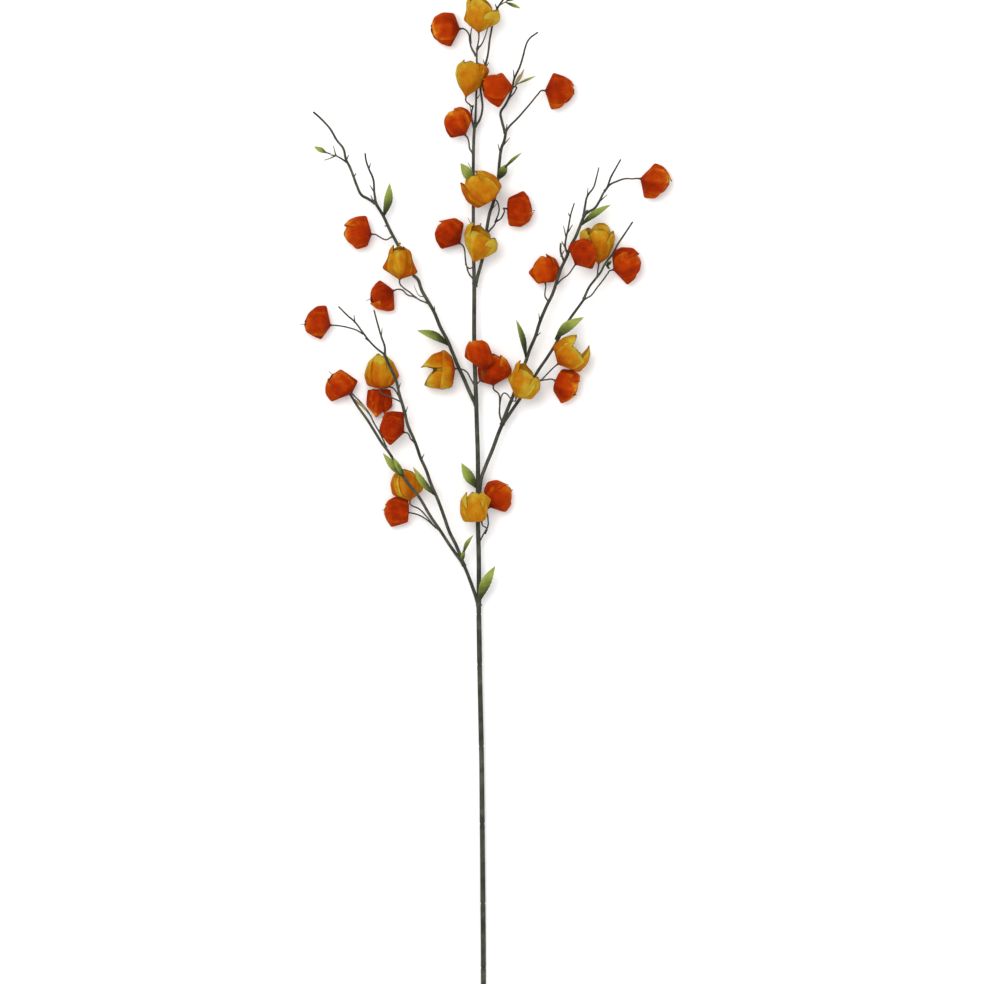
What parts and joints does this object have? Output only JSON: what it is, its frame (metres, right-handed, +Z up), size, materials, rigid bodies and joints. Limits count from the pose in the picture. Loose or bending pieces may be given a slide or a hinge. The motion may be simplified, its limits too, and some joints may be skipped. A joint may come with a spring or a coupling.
{
  "type": "chinese lantern stem",
  "caption": "Long dark artificial spray with forked side branches, small green leaves and hanging paper-thin physalis husks in red, orange and yellow, lying flat.",
  "frame": {"origin": "under the middle of the spray's bounding box, on the surface that it lies on", "axes": "+Y from the cut end to the tip of the spray, +X to the right seen from above with the tip away, +Z up from the surface"},
  "size_m": [0.4099, 1.1153, 0.0631],
  "materials": {
    "stems": "matt dark olive plastic over wire",
    "red_husks": "matt pressed fabric, red shading to orange",
    "orange_husks": "matt pressed fabric, orange red",
    "yellow_husks": "matt pressed fabric, golden yellow with orange roots",
    "leaves": "matt green fabric with a dark root"
  },
  "bodies": {
    "root": {"main_stem": "stems", "left_lower_branch": "stems", "left_upper_branch": "stems", "right_branch": "stems", "top_right_branch": "stems", "husk_01": "red_husks", "husk_02": "yellow_husks", "husk_03": "yellow_husks", "husk_04": "orange_husks", "husk_05": "red_husks", "husk_06": "red_husks", "husk_07": "yellow_husks", "husk_08": "red_husks", "husk_09": "red_husks", "husk_10": "yellow_husks", "husk_11": "red_husks", "husk_12": "yellow_husks", "husk_13": "red_husks", "husk_14": "yellow_husks", "husk_15": "red_husks", "husk_16": "red_husks", "husk_17": "yellow_husks", "husk_18": "red_husks", "husk_19": "red_husks", "husk_20": "yellow_husks", "husk_21": "red_husks", "husk_22": "yellow_husks", "husk_23": "red_husks", "husk_24": "red_husks", "husk_25": "red_husks", "husk_26": "yellow_husks", "husk_27": "yellow_husks", "husk_28": "red_husks", "husk_29": "orange_husks", "husk_30": "red_husks", "husk_31": "yellow_husks", "husk_32": "red_husks", "husk_33": "red_husks", "leaf_01": "leaves", "leaf_02": "leaves", "leaf_03": "leaves", "leaf_04": "leaves", "leaf_05": "leaves", "leaf_06": "leaves", "leaf_07": "leaves", "leaf_08": "leaves", "leaf_09": "leaves", "leaf_10": "leaves", "leaf_11": "leaves", "leaf_12": "leaves", "sprig_1": "leaves", "sprig_2": "leaves", "sprig_3": "leaves", "sprig_4": "leaves", "sprig_5": "leaves"}
  },
  "joints": []
}
